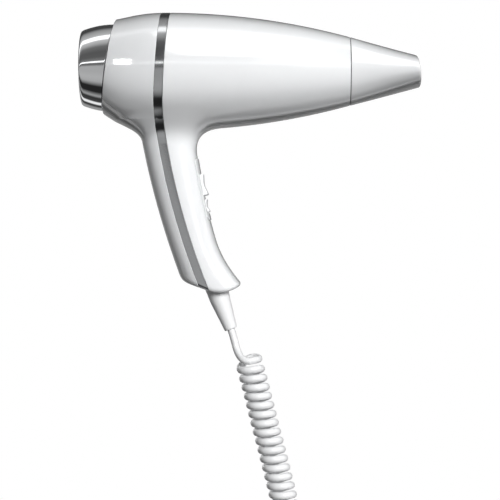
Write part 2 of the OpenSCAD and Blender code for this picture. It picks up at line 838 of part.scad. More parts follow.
module plug_relief() color("white") {
    translate([plug_x, 0, plug_top_z - plug_relief_len])
        cylinder(h = plug_relief_len, r1 = plug_relief_low_r, r2 = plug_relief_top_r, $fn = round_fn);
}

module plug_body() color("white") {
    r = plug_d / 2;
    translate([plug_x, 0, plug_face_z]) difference() {
        rotate_extrude($fn = fine) polygon([[0, 0], [r - 1, 0], [r, 1], [r, plug_len * 0.3],
            [r - 2.5, plug_len * 0.5], [plug_neck_r + 1.5, plug_len * 0.85],
            [plug_neck_r, plug_len], [0, plug_len]]);
        for (side = [-1, 1]) translate([side * pin_gap / 2, 0, -1])
            cylinder(h = pin_socket + 1, r = pin_root_r, $fn = round_fn);
    }
}

module plug_pins() color("silver") {
    for (side = [-1, 1]) translate([plug_x + side * pin_gap / 2, 0, plug_face_z]) {
        cylinder(h = pin_socket, r = pin_root_r, $fn = round_fn);
        translate([0, 0, pin_tip_len - pin_len])
            cylinder(h = pin_len - pin_tip_len, r = pin_d / 2, $fn = round_fn);
        translate([0, 0, -pin_len])
            cylinder(h = pin_tip_len, r1 = pin_d / 4, r2 = pin_d / 2, $fn = round_fn);
    }
}

rear_shell();
front_shell();
trim_band();
inner_duct();
guide_vanes();
motor_can();
motor_endcap();
motor_bushes();
motor_magnets();
rectifier_board();
suppression_capacitor();
mica_tube();
mica_frame();
heater_coils();
thermostat();
thermal_fuse();
outlet_grille();
upper_switch_module();
lower_switch_module();
switch_bezel();
wiring_harness();
housing_screws();
cord_clamp();
clamp_screws();
relief_collar();
strain_relief();
intake_collar();
intake_grille();
lint_filter();
motor_shaft();
armature();
impeller();
nozzle_ring();
nozzle_shell();
upper_rocker();
lower_rocker();
cord_lead();
cord_coil();
cord_tail();
plug_relief();
plug_body();
plug_pins();
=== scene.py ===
"""Looks of the white pistol-grip hair dryer: shells, trim, cord and studio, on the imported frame.

Sizes and places are in millimetres, unless a comment says otherwise, and become metres when a mesh or a
curve is made. +X runs to the nozzle, +Z is up, and the camera looks along +Y.
"""
import json
import math

import bpy
import numpy as np
from mathutils import Matrix, Vector

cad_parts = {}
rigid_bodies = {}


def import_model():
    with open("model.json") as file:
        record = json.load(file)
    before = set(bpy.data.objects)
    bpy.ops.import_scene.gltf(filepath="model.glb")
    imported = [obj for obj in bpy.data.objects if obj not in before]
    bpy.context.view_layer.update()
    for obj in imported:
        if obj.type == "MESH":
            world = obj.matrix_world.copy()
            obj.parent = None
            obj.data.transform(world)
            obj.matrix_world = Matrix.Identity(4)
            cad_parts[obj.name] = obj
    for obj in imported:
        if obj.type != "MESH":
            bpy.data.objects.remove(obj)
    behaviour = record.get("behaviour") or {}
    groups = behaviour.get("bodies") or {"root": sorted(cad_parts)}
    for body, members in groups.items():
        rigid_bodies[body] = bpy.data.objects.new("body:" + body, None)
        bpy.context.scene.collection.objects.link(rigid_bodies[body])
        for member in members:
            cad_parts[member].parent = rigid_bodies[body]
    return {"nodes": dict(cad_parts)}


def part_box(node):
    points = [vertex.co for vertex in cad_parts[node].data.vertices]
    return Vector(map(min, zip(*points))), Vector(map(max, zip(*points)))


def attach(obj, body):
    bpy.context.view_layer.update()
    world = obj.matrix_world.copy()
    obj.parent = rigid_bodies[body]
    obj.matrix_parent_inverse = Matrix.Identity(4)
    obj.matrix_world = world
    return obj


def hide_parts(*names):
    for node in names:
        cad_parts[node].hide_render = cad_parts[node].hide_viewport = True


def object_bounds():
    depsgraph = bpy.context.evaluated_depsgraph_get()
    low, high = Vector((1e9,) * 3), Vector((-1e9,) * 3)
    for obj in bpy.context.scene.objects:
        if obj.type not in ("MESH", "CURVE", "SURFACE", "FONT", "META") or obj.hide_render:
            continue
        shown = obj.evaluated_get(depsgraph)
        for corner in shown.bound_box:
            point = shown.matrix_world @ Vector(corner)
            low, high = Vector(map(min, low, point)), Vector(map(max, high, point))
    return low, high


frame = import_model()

MM = 0.001
cad_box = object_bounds()


def box_mm(node):
    """Lowest and highest corner of a CAD node, in millimetres."""
    low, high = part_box(node)
    return np.array(low) / MM, np.array(high) / MM


# ---- driving sizes, half of them read from the frame ----

barrel_r = box_mm("trim_band")[1][1]
barrel_z = (box_mm("motor_can")[0][2] + box_mm("motor_can")[1][2]) / 2
seam_x = box_mm("front_shell")[1][0]
cap_rear_x = box_mm("intake_collar")[0][0]
cap_z = (box_mm("intake_grille")[0][2] + box_mm("intake_grille")[1][2]) / 2
lip_x = box_mm("nozzle_shell")[0][0]
wide_x = -12  # where the barrel is widest
rear_len = 73.4  # half length of the ellipse that closes the barrel behind that
front_arc_r = 515  # radius of the long arc in front of it
wall = 2.2
band_w = 6.3
cord_d = 5.5

# ---- camera, with its places in metres ----

camera_place = Vector((0.073, -1.286, -0.033))
camera_aim = Vector((0.050, 0, -0.033))
camera_lens = 126
sensor_w = 36
scene = bpy.context.scene


def add_camera():
    camera = bpy.data.objects.new("camera", bpy.data.cameras.new("camera"))
    scene.collection.objects.link(camera)
    camera.location = camera_place
    camera.rotation_mode = "QUATERNION"
    camera.rotation_quaternion = (camera_aim - camera_place).to_track_quat("-Z", "Y")
    camera.data.lens = camera_lens
    camera.data.sensor_width = sensor_w
    scene.camera = camera


add_camera()

# ---- materials ----

noise_low = 0.3  # most noise lies between these two
noise_high = 0.7
grain_depth = 0.0004  # metres
coat_rough = 0.06
plastic_ior = 1.5


def node_of(tree, kind, **settings):
    node = tree.nodes.new(kind)
    for name, value in settings.items():
        setattr(node, name, value)
    return node


def noise_of(tree, place, scale, detail=4.0):
    noise = node_of(tree, "ShaderNodeTexNoise")
    noise.inputs["Scale"].default_value = scale
    noise.inputs["Detail"].default_value = detail
    tree.links.new(place.outputs["Object"], noise.inputs["Vector"])
    return noise


def ramp_of(tree, source, stops):
    """Colour ramp over a factor; each stop is (position, colour)."""
    ramp = node_of(tree, "ShaderNodeValToRGB")
    elements = ramp.color_ramp.elements
    while len(elements) < len(stops):
        elements.new(0.5)
    for element, (position, colour) in zip(elements, stops):
        element.position = position
        element.color = (*colour, 1)
    tree.links.new(source, ramp.inputs["Fac"])
    return ramp


def range_of(tree, source, low, high):
    """Maps noise onto low to high."""
    mapped = node_of(tree, "ShaderNodeMapRange")
    mapped.inputs["From Min"].default_value = noise_low
    mapped.inputs["From Max"].default_value = noise_high
    mapped.inputs["To Min"].default_value = low
    mapped.inputs["To Max"].default_value = high
    tree.links.new(source, mapped.inputs["Value"])
    return mapped


def material_of(name, colour, rough, spread=0.03, metal=0.0, grain=900, bump=0.02,
                tint=0.03, mottle=60, coat=0.0):
    """Moulded or machined finish: mottled colour, uneven roughness and a fine surface grain."""
    material = bpy.data.materials.new(name)
    material.use_nodes = True
    tree = material.node_tree
    shader = tree.nodes["Principled BSDF"]
    place = node_of(tree, "ShaderNodeTexCoord")
    broad = noise_of(tree, place, mottle)
    dark = tuple(c * (1 - tint) for c in colour)
    paint = ramp_of(tree, broad.outputs["Fac"], [(0.35, dark), (0.65, colour)])
    tree.links.new(paint.outputs["Color"], shader.inputs["Base Color"])
    smear = noise_of(tree, place, mottle * 2.3, 6.0)
    gloss = range_of(tree, smear.outputs["Fac"], max(0.02, rough - spread), rough + spread)
    tree.links.new(gloss.outputs["Result"], shader.inputs["Roughness"])
    fine = noise_of(tree, place, grain, 3.0)
    relief = node_of(tree, "ShaderNodeBump")
    relief.inputs["Strength"].default_value = bump
    relief.inputs["Distance"].default_value = grain_depth
    tree.links.new(fine.outputs["Fac"], relief.inputs["Height"])
    tree.links.new(relief.outputs["Normal"], shader.inputs["Normal"])
    shader.inputs["Metallic"].default_value = metal
    shader.inputs["IOR"].default_value = plastic_ior
    shader.inputs["Coat Weight"].default_value = coat
    shader.inputs["Coat Roughness"].default_value = coat_rough
    return material


finish_settings = {
    "white_gloss": dict(colour=(0.86, 0.87, 0.88), rough=0.1, bump=0.006, tint=0.012, coat=1.0),
    # The rear shell's white is a darker copy of white_gloss: painted shade for the rear side, which the key
    # light from the front leaves darker.
    "rear_white_painted_shade": dict(colour=(0.77, 0.78, 0.79), rough=0.1, bump=0.006, tint=0.012, coat=1.0),
    "switch_white": dict(colour=(0.84, 0.85, 0.86), rough=0.28, bump=0.02, tint=0.02),
    "cord_white": dict(colour=(0.86, 0.865, 0.87), rough=0.3, bump=0.03, tint=0.02, grain=1500),
    "chrome": dict(colour=(0.9, 0.91, 0.92), rough=0.05, spread=0.02, metal=1.0, bump=0.003, tint=0.02),
    "trim_silver": dict(colour=(0.66, 0.67, 0.68), rough=0.12, spread=0.03, metal=1.0, bump=0.006),
    "dark_plastic": dict(colour=(0.03, 0.03, 0.032), rough=0.42, bump=0.08, tint=0.2),
    "grille_plastic": dict(colour=(0.32, 0.33, 0.34), rough=0.35, bump=0.05, tint=0.1),
    "fan_plastic": dict(colour=(0.05, 0.052, 0.056), rough=0.35, bump=0.05, tint=0.15),
    "filter_mesh": dict(colour=(0.16, 0.165, 0.17), rough=0.5, metal=0.4, bump=0.1, tint=0.3),
    "motor_steel": dict(colour=(0.62, 0.62, 0.6), rough=0.3, spread=0.08, metal=1.0, bump=0.04),
    "bronze": dict(colour=(0.55, 0.36, 0.16), rough=0.35, spread=0.08, metal=1.0, bump=0.05, tint=0.15),
    "magnet": dict(colour=(0.09, 0.09, 0.1), rough=0.55, bump=0.1, tint=0.2),
    "copper": dict(colour=(0.75, 0.33, 0.16), rough=0.3, spread=0.06, metal=1.0, bump=0.15, tint=0.2),
    "circuit_board": dict(colour=(0.05, 0.2, 0.09), rough=0.35, bump=0.05, tint=0.25, coat=0.4),
    "capacitor_film": dict(colour=(0.75, 0.35, 0.06), rough=0.3, bump=0.05, tint=0.12),
    "mica": dict(colour=(0.5, 0.42, 0.3), rough=0.45, spread=0.1, bump=0.12, tint=0.3, mottle=240),
    "heater_wire": dict(colour=(0.42, 0.38, 0.34), rough=0.35, spread=0.08, metal=1.0, bump=0.05, tint=0.3),
    "steel": dict(colour=(0.6, 0.6, 0.61), rough=0.28, spread=0.07, metal=1.0, bump=0.04, tint=0.1),
    "insulation": dict(colour=(0.5, 0.05, 0.04), rough=0.4, bump=0.04, tint=0.12),
    "nylon": dict(colour=(0.75, 0.72, 0.64), rough=0.45, bump=0.05, tint=0.08),
    "pin_nickel": dict(colour=(0.72, 0.7, 0.66), rough=0.2, spread=0.06, metal=1.0, bump=0.02, tint=0.08),
}
finishes = {name: material_of(name, **settings) for name, settings in finish_settings.items()}


def cover(item, finish):
    item.data.materials.clear()
    item.data.materials.append(finishes[finish])


def paint(item, finish):
    """Gives a new piece its material."""
    cover(item, finish)


# ---- mesh helpers ----


def mesh_piece(name, points, faces, body, finish, replaces, normals=None, sharp=None):
    """Object from points in millimetres; sharp is the angle past which an edge isn't smoothed."""
    mesh = bpy.data.meshes.new(name)
    mesh.from_pydata((np.asarray(points, float) * MM).tolist(), [], [list(f) for f in faces])
    mesh.update()
    mesh.polygons.foreach_set("use_smooth", [True] * len(mesh.polygons))
    if sharp:
        mesh.set_sharp_from_angle(angle=math.radians(sharp))
    if normals is not None:
        mesh.normals_split_custom_set_from_vertices(normals.tolist())
    item = bpy.data.objects.new(name, mesh)
    scene.collection.objects.link(item)
    paint(item, finish)
    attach(item, body)
    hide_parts(*replaces)
    return item


def sweep_rings(rings, closed=False):
    """Points and faces of a skin through rings of equal length; closed joins the last to the first."""
    count = len(rings[0])
    points = [p for ring in rings for p in ring]
    faces = []
    for j in range(len(rings) if closed else len(rings) - 1):
        here = j * count
        there = (j + 1) % len(rings) * count
        for i in range(count):
            k = (i + 1) % count
            faces.append((here + i, here + k, there + k, there + i))
    return points, faces


def lathe(profile, place, around=96):
    """Closed solid of revolution: profile is a loop of (radius, height) round the local Z axis of place."""
    rings = []
    for i in range(around):
        turn = 2 * math.pi * i / around
        spin = Vector((math.cos(turn), math.sin(turn), 0))
        rings.append([place @ (spin * r + Vector((0, 0, h))) for r, h in profile])
    return sweep_rings(rings, closed=True)


def join(*solids):
    """One list of points and faces from several."""
    points, faces = [], []
    for more, skins in solids:
        base = len(points)
        points += [tuple(p) for p in more]
        faces += [tuple(base + i for i in f) for f in skins]
    return points, faces


def tube(route, radius, sides=8):
    """Tube along a list of points, with its ends closed."""
    line = [Vector(p) for p in route]
    side = Vector((0, 1, 0))
    rings = []
    for i, point in enumerate(line):
        ahead = (line[min(i + 1, len(line) - 1)] - line[max(i - 1, 0)]).normalized()
        across = ahead.cross(side)
        if across.length < 0.2:  # too nearly parallel to side
            across = ahead.cross(Vector((1, 0, 0)))
        across.normalize()
        up = ahead.cross(across)
        rings.append([point + radius * (math.cos(a) * across + math.sin(a) * up)
                      for a in np.linspace(0, 2 * math.pi, sides, endpoint=False)])
    points, faces = sweep_rings(rings)
    faces.append(tuple(range(sides))[::-1])
    faces.append(tuple(range(len(points) - sides, len(points))))
    return points, faces


def soften(item, width, angle):
    """Rounds the edges that are sharper than angle."""
    bevel = item.modifiers.new("rounded_edges", "BEVEL")
    bevel.width = width * MM
    bevel.segments = 3
    bevel.limit_method = "ANGLE"
    bevel.angle_limit = math.radians(angle)
    bevel.harden_normals = False
    return item


def along_x(x, z):
    """Frame whose Z axis lies along X, at the height z."""
    return Matrix.Translation((x, 0, z)) @ Matrix.Rotation(math.pi / 2, 4, "Y")


# ---- cord, lead, curl and tail in one line ----

relief_exit = (36, 0, -91.2)
lead_route = [relief_exit, (37.3, 0, -95.4), (38.8, -0.2, -100.6), (40.2, -1.2, -105.6),
              (42.3, -3.8, -110.1), (44.9, -6.5, -112.9)]
coil_route = [(48.2, 0, -112.5), (54, 0, -133), (60, 0, -157), (66, 0, -180), (72, 0, -204),
              (77, 0, -226), (81, 0, -246), (84, 0, -266), (86, 0, -288), (87, 0, -310),
              (87, 0, -328), (87, 0, -345)]
tail_route = [(80, 0, -345), (80, 0, -350), (81, 0, -356), (84, 0, -363), (86, 0, -370), (87, 0, -379)]
lead_points = 32
tail_points = 20
steps_between = 24  # steps of a smooth route between two of its points
coil_d = 20.6
coil_turns = 35
points_per_turn = 32
first_turn_lift = 4.4  # how far the back of the first turn rises
lift_middle = 1.5 * math.pi
lift_spread = 0.38 * math.pi
wire_ring_r = (coil_d - cord_d) / 2


def smooth_route(route, count):
    """Evenly spaced points on a Catmull-Rom curve through the route."""
    line = np.array(route, float)
    ends = np.vstack([2 * line[0] - line[1], line, 2 * line[-1] - line[-2]])
    fine = []
    for a, b, c, d in zip(ends[:-3], ends[1:-2], ends[2:-1], ends[3:]):
        for t in np.linspace(0, 1, steps_between, endpoint=False):
            fine.append(0.5 * (2 * b + (c - a) * t + (2 * a - 5 * b + 4 * c - d) * t ** 2
                               + (3 * b - a - 3 * c + d) * t ** 3))
    fine = np.array(fine + [line[-1]])
    length = np.concatenate([[0], np.cumsum(np.linalg.norm(np.diff(fine, axis=0), axis=1))])
    at = np.linspace(0, length[-1], count)
    return np.stack([np.interp(at, length, fine[:, i]) for i in range(3)], axis=1)


def curl_points():
    """Helix round the curl's middle line; it starts at the left and sweeps across the front."""
    count = coil_turns * points_per_turn + 1
    middle = smooth_route(coil_route, count)
    ahead = np.gradient(middle, axis=0)
    ahead /= np.linalg.norm(ahead, axis=1)[:, None]
    across = np.stack([-ahead[:, 2], 0 * ahead[:, 0], ahead[:, 0]], axis=1)
    turn = np.linspace(0, 2 * math.pi * coil_turns, count)
    front = np.array([0.0, -1.0, 0.0])
    line = middle + wire_ring_r * (-np.cos(turn)[:, None] * across + np.sin(turn)[:, None] * front)
    line[:, 2] += first_turn_lift * np.exp(-((turn - lift_middle) / lift_spread) ** 2)
    return line


def add_cord(end_pieces):
    """Lead, curl and tail in one curve; the lead joins the curl at the front of its first turn."""
    helix = curl_points()
    front = points_per_turn // 4
    joined = front + 2
    lead = smooth_route(lead_route + [tuple(helix[front]), tuple(helix[joined])], lead_points)
    tail = smooth_route(tail_route, tail_points)
    line = np.vstack([lead[:-1], helix[joined:-1], tail[1:]])
    curve = bpy.data.curves.new("curly_cord", "CURVE")
    curve.dimensions = "3D"
    spline = curve.splines.new("POLY")
    spline.points.add(len(line) - 1)
    for point, place in zip(spline.points, line):
        point.co = (*(place * MM), 1)
    spline.use_smooth = True
    curve.bevel_depth = cord_d / 2 * MM
    curve.bevel_resolution = 4
    curve.use_fill_caps = True
    item = bpy.data.objects.new("curly_cord", curve)
    scene.collection.objects.link(item)
    paint(item, "cord_white")
    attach(item, "housing")
    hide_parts("cord_lead", "cord_coil", "cord_tail")


# ---- outside form of barrel and handle ----

grip_half_d = 18.3  # half depth of the grip at the origin
grip_half_w = 17
grip_slope = 0.235  # lean of the grip's front
section_power = 2.35  # 2 is an ellipse, and more is boxier
handle_top_z = 62
handle_reach = 12  # how far the handle runs on inside the barrel
tail_start = 38  # behind this, the barrel's axis rises by tail_rise over tail_len
tail_rise = 2.6
tail_len = 19.5
foot_round = 4
fillet_rear = 9  # size of the fillet behind fillet_start
fillet_gain = 10  # added to it over fillet_len
fillet_start = -25
fillet_len = 40


def past(value, limit):
    """How far a value is past a limit, or zero."""
    return np.maximum(0.0, value - limit)


def ease(t):
    """Smooth step from 0 to 1."""
    return t * t * (3 - 2 * t)


def barrel_radius(x):
    """Ellipse behind the widest place and a long arc in front of it."""
    rear = barrel_r * np.sqrt(np.clip(1 - ((x - wide_x) / rear_len) ** 2, 0.01, 1))
    front = barrel_r - front_arc_r + np.sqrt(front_arc_r ** 2 - (x - wide_x) ** 2)
    return np.where(x < wide_x, rear, front)


def barrel_field(p):
    """Below zero inside the barrel."""
    x, y, z = p[..., 0], p[..., 1], p[..., 2]
    rise = tail_rise * (past(-x, tail_start) / tail_len) ** 2
    return np.hypot(y, z - barrel_z - rise) - barrel_radius(x)


def grip_rear_x(z):
    """Back outline of the handle, which turns backwards below the barrel."""
    return -grip_half_d - 0.277 * z + 0.00092 * z ** 2 - 0.045 * past(z, 46) ** 2


def grip_front_x(z):
    """Front outline of the handle, which turns forwards at the foot."""
    return grip_half_d - grip_slope * z + 0.0011 * z ** 2 + 0.0078 * past(-z, 25) ** 2


def grip_w(z):
    """Half width of the handle: wider near the barrel and narrower near the foot."""
    return grip_half_w + 0.012 * past(z, 44) ** 2 - 0.0006 * past(-z, 30) ** 2


def foot_z(x):
    """Lower outline of the handle's foot."""
    return -56 - 0.34 * past(x, 0) + 0.022 * past(x, 20) ** 2 + 0.55 * past(-x, 0)


def smooth_min(a, b, reach):
    """Lesser of two values, blended where they differ by less than reach."""
    near = past(reach - np.abs(a - b), 0) / reach
    return np.minimum(a, b) - near ** 2 * reach / 4


def handle_field(p):
    """Below zero inside the handle, whose sections are boxy ellipses."""
    x, y, z = p[..., 0], p[..., 1], p[..., 2]
    height = np.minimum(z, handle_top_z)
    half = (grip_front_x(height) - grip_rear_x(height)) / 2
    middle = (grip_front_x(height) + grip_rear_x(height)) / 2
    width = grip_w(height)
    reach = (np.abs((x - middle) / half) ** section_power
             + np.abs(y / width) ** section_power) ** (1 / section_power)
    side = (reach - 1) * (half + width) / 2
    body = -smooth_min(-side, z - foot_z(x), foot_round)
    return np.maximum(body, z - handle_top_z - handle_reach)


def body_field(p):
    """Below zero inside the joined barrel and handle; the fillet grows towards the front."""
    t = np.clip((p[..., 0] - fillet_start) / fillet_len, 0, 1)
    return smooth_min(barrel_field(p), handle_field(p), fillet_rear + fillet_gain * ease(t))


def slope(field, p, step=0.02):
    """Gradient of a field, by central differences."""
    out = np.empty_like(p)
    for i in range(3):
        d = np.zeros(3)
        d[i] = step
        out[..., i] = (field(p + d) - field(p - d)) / (2 * step)
    return out


def settle(p, rounds=3):
    """Moves points onto the body's surface."""
    for _ in range(rounds):
        g = slope(body_field, p)
        p = p - (body_field(p) / np.sum(g * g, axis=1))[:, None] * g
    return p


def unit(v):
    """Rows of v, each at length 1."""
    return v / np.linalg.norm(v, axis=1)[:, None]


def surface_net(low, high, step):
    """Quads over the surface where body_field is zero, one point in each cell that it crosses."""
    axes = [np.arange(a, b + step, step) for a, b in zip(low, high)]
    value = body_field(np.stack(np.meshgrid(*axes, indexing="ij"), axis=-1))
    inside = value < 0
    size = np.array(inside.shape)
    cells = [inside[i:size[0] - 1 + i, j:size[1] - 1 + j, k:size[2] - 1 + k]
             for i in (0, 1) for j in (0, 1) for k in (0, 1)]
    count = np.sum(cells, axis=0)
    mixed = (count > 0) & (count < 8)
    index = np.full(mixed.shape, -1)
    index[mixed] = np.arange(mixed.sum())
    points = np.array(low) + (np.argwhere(mixed) + 0.5) * step
    faces = []
    for axis in range(3):
        low_end = np.take(inside, range(size[axis] - 1), axis)
        high_end = np.take(inside, range(1, size[axis]), axis)
        edges = np.argwhere(low_end != high_end)
        others = [(axis + 1) % 3, (axis + 2) % 3]
        edges = edges[np.all((edges[:, others] > 0) & (edges[:, others] < size[others] - 1), axis=1)]
        b = np.eye(3, dtype=int)[(axis + 1) % 3]
        c = np.eye(3, dtype=int)[(axis + 2) % 3]
        ring = np.stack([index[tuple((edges - d).T)] for d in (0 * b, b, b + c, c)], axis=1)
        outward = low_end[tuple(edges.T)]
        faces.append(np.where(outward[:, None], ring, ring[:, ::-1]))
    return settle(points), np.vstack(faces)


def relax(points, faces, rounds=6, pull=0.6):
    """Moves each point towards its neighbours' middle, while it stays on the surface."""
    a = np.concatenate([faces[:, i] for i in range(4)])
    b = np.concatenate([faces[:, (i + 1) % 4] for i in range(4)])
    share = np.bincount(a, minlength=len(points)) + np.bincount(b, minlength=len(points))
    for _ in range(rounds):
        total = np.zeros_like(points)
        np.add.at(total, a, points[b])
        np.add.at(total, b, points[a])
        points = settle((1 - pull) * points + pull * total / share[:, None], 2)
    return points


mesh_step = 1.3
snap = 0.35 * mesh_step  # points this close to a cut are moved onto it


def body_skin():
    """Skin of the joined barrel and handle, inside a box that is a little larger than they are."""
    low = (-72, -45.5, -66)
    high = (130, 45.5, 143)
    points, faces = surface_net(low, high, mesh_step)
    return relax(points, faces), [tuple(f) for f in faces]


def trimmed(points, faces, side):
    """The part of a skin where side() is below zero, cut to an even edge."""
    value = side(points)
    near = np.abs(value) < snap
    edge = points[near]
    for _ in range(3):
        normal = unit(slope(body_field, edge))
        lean = slope(side, edge)
        lean -= np.sum(lean * normal, axis=1)[:, None] * normal
        edge = edge - (side(edge) / np.sum(lean * lean, axis=1))[:, None] * lean
        edge = settle(edge, 1)
    points = points.copy()
    points[near] = edge
    value[near] = 0
    added, known, kept = [], {}, []

    def crossing(i, j):
        key = (min(i, j), max(i, j))
        if key not in known:
            t = value[i] / (value[i] - value[j])
            known[key] = len(points) + len(added)
            added.append(points[i] + t * (points[j] - points[i]))
        return known[key]

    highest = np.array([value[list(f)].max() for f in faces])
    lowest = np.array([value[list(f)].min() for f in faces])
    for face, top, bottom in zip(faces, highest, lowest):
        if bottom >= 0:
            continue
        if top <= 0:
            kept.append(face)
            continue
        out = []
        for i, j in zip(face, face[1:] + face[:1]):
            if value[i] <= 0:
                out.append(i)
            if value[i] * value[j] < 0:
                out.append(crossing(i, j))
        if len(out) > 2:
            kept.append(tuple(out))
    if added:
        points = np.vstack([points, settle(np.array(added))])
    used = sorted({i for f in kept for i in f})
    place = {old: new for new, old in enumerate(used)}
    return points[used], [tuple(place[i] for i in f) for f in kept]


def shell_piece(name, node, finish, skin, cuts, thick=wall, lift=0.0, edge_r=0.5):
    """Moulded shell from the skin: cut to its outline, with a rounded edge and an inner face.

    Each cut is a function that is above zero where the skin is taken away. lift raises the outer face.
    """
    points, faces = skin
    rounded = [lambda p, cut=cut: cut(p) + edge_r for cut in cuts]
    for cut in rounded:
        points, faces = trimmed(points, faces, cut)
    normal = unit(slope(body_field, points))
    count = len(points)
    directed = {(i, j) for f in faces for i, j in zip(f, f[1:] + f[:1])}
    border = [(i, j) for i, j in directed if (j, i) not in directed]
    rim = sorted({i for pair in border for i in pair})
    rim_place = {old: new for new, old in enumerate(rim)}
    at = points[rim]
    nearest = np.argmin([np.abs(cut(at)) for cut in rounded], axis=0)
    outward = np.zeros_like(at)
    for k, cut in enumerate(rounded):
        mine = nearest == k
        if mine.any():
            lean = slope(cut, at[mine])
            lean -= np.sum(lean * normal[rim][mine], axis=1)[:, None] * normal[rim][mine]
            outward[mine] = unit(lean)
    outer = points + lift * normal
    layers = [outer, outer - thick * normal]
    shades = [normal, -normal]
    steps = [(a, edge_r) for a in (30, 60, 90)] + [(90, thick - edge_r * 0.6)]
    for angle, depth in steps:
        a = math.radians(angle)
        drop = edge_r * (1 - math.cos(a)) if angle < 90 else depth
        layers.append(outer[rim] + edge_r * math.sin(a) * outward - drop * normal[rim])
        shades.append(math.cos(a) * normal[rim] + math.sin(a) * outward)
    skins = list(faces) + [tuple(count + i for i in f[::-1]) for f in faces]
    starts = [2 * count + k * len(rim) for k in range(len(steps))]
    for i, j in border:
        a, b = rim_place[i], rim_place[j]
        chain = [(i, j)] + [(s + a, s + b) for s in starts] + [(count + i, count + j)]
        for (p, q), (r, s) in zip(chain, chain[1:]):
            skins.append((q, p, r, s))
    return mesh_piece(name, np.vstack(layers), skins, "housing", finish, [node], np.vstack(shades))


# ---- outlines that the shells are cut to ----

cap_plane = (-53, 0, barrel_z + 3.1)  # a point on the tilted plane where the cap meets the shell
cap_lean = math.radians(8.2)
bezel_low_z = -11
bezel_top_z = 34
bezel_w = 19
bezel_corner = 4
rockers = {  # height of the pivot, height of the cap, and how far the cap stands proud
    "upper_rocker": (14.4, 15.6, 3.3),
    "lower_rocker": (-0.6, 9.6, 1.8),
}
rocker_w = 13
window_gap = 0.63  # above and below a cap
window_side_gap = 0.4
window_corner = 1.6
screw_zs = (37, -36)
screw_hole_r = 3.2
parting = 0.12  # half of the groove between two shells
band_blend = 2.5


def band_middle_x(z):
    """Middle line of the trim band, straight round the barrel and curved down the handle."""
    barrel = -14.0 + 0.06 * (z - barrel_z)
    handle = -3.6 - 0.266 * z + 0.00108 * z ** 2
    return -smooth_min(-barrel, -handle, band_blend)


def from_band(p):
    """How far ahead of the trim band's middle line."""
    return p[..., 0] - band_middle_x(p[..., 2])


def behind_cap_plane(p):
    """Above zero behind the plane where the cap meets the shell."""
    ahead = (p[..., 0] - cap_plane[0]) * math.cos(cap_lean)
    return -ahead + (p[..., 2] - cap_plane[2]) * math.sin(cap_lean)


def rounded_rectangle(p, low_z, high_z, width, corner):
    """Distance outside a rounded rectangle in Y and Z."""
    away_y = np.abs(p[..., 1]) - width / 2 + corner
    away_z = np.abs(p[..., 2] - (low_z + high_z) / 2) - (high_z - low_z) / 2 + corner
    outside = np.hypot(past(away_y, 0), past(away_z, 0))
    return outside + np.minimum(np.maximum(away_y, away_z), 0) - corner


def in_bezel(p, grow=0.0):
    """Above zero within the switch plate's outline, on the handle's front only."""
    behind = np.where(from_band(p) > 0, 0.0, 50.0)
    low, high = bezel_low_z - grow, bezel_top_z + grow
    return -rounded_rectangle(p, low, high, bezel_w + 2 * grow, bezel_corner + grow) - behind


def in_window(p, z, height):
    """Above zero within the plate's window for a rocker cap."""
    half = height / 2 + window_gap
    return -rounded_rectangle(p, z - half, z + half, rocker_w + 2 * window_side_gap, window_corner)


def in_screw_hole(p, z):
    return screw_hole_r - np.hypot(p[..., 1], p[..., 2] - z)


relief_lean = math.radians(-20)
relief_place = Matrix.Translation((25.4, 0, -62)) @ Matrix.Rotation(relief_lean, 4, "Y")
relief_hole_r = 6.2
sleeve_top_z = -3.0  # along the relief's own axis


def in_relief_hole(p):
    """Above zero within the cord's hole, which goes through the foot only."""
    back = np.array(relief_place.inverted())
    local = p @ back[:3, :3].T + back[:3, 3]
    return np.where(local[..., 2] < 6, relief_hole_r - np.hypot(local[..., 0], local[..., 1]), -20)


def add_shells():
    """Both shells, the trim band between them and the switch plate, all cut from one skin."""
    skin = body_skin()
    half = band_w / 2
    # The rear shell takes the darker white, whose lower brightness is painted shade.
    shell_piece("rear_housing", "rear_shell", "rear_white_painted_shade", skin,
                [lambda p: from_band(p) + half + parting, behind_cap_plane]
                + [lambda p, z=z: in_screw_hole(p, z) for z in screw_zs])
    shell_piece("front_housing", "front_shell", "white_gloss", skin,
                [lambda p: half + parting - from_band(p), lambda p: p[..., 0] - seam_x,
                 lambda p: in_bezel(p, 0.15), in_relief_hole])
    shell_piece("trim_strip", "trim_band", "trim_silver", skin,
                [lambda p: from_band(p) - half, lambda p: -from_band(p) - half], edge_r=0.2)
    shell_piece("switch_panel", "switch_bezel", "white_gloss", skin,
                [lambda p: -in_bezel(p)]
                + [lambda p, z=z, h=h: in_window(p, z, h) for z, h, _ in rockers.values()],
                thick=2.4, lift=0.7, edge_r=0.45)


# ---- rockers ----

front_lean = math.radians(-13.5)
face_x = grip_half_d - 0.15


def face_place(z):
    """Frame on the handle's front face at height z, X outwards and Z up along the face."""
    return Matrix.Translation((face_x - grip_slope * z, 0, z)) @ Matrix.Rotation(front_lean, 4, "Y")


def add_rocker(name, z, height, proud):
    """Paddle with a hollow middle, raised finger ends and a crown across its width."""
    dip = 1.2
    crown_h = 0.5
    half = height / 2
    place = face_place(z)
    across = np.linspace(-rocker_w / 2, rocker_w / 2, 9)
    rings = []
    for y in across:
        crown = crown_h * (2 * y / rocker_w) ** 2
        outer = [(proud - dip * math.cos(math.pi * s / half / 2) ** 2 - crown, s)
                 for s in np.linspace(-half, half, 13)]
        back = [(-1, half), (-6, 2.5), (-6, -2.5), (-1, -half)]
        rings.append([place @ Vector((x, y, s)) for x, s in outer + back])
    points, faces = sweep_rings(rings)
    faces = [f[::-1] for f in faces]
    count = len(rings[0])
    faces.append(tuple(range(count)))
    faces.append(tuple(range(len(points) - count, len(points)))[::-1])
    body = name.replace("rocker", "switch")
    item = mesh_piece(name + "_cap", points, faces, body, "switch_white", [name])
    return soften(item, 0.7, 35)


# ---- filter cap ----


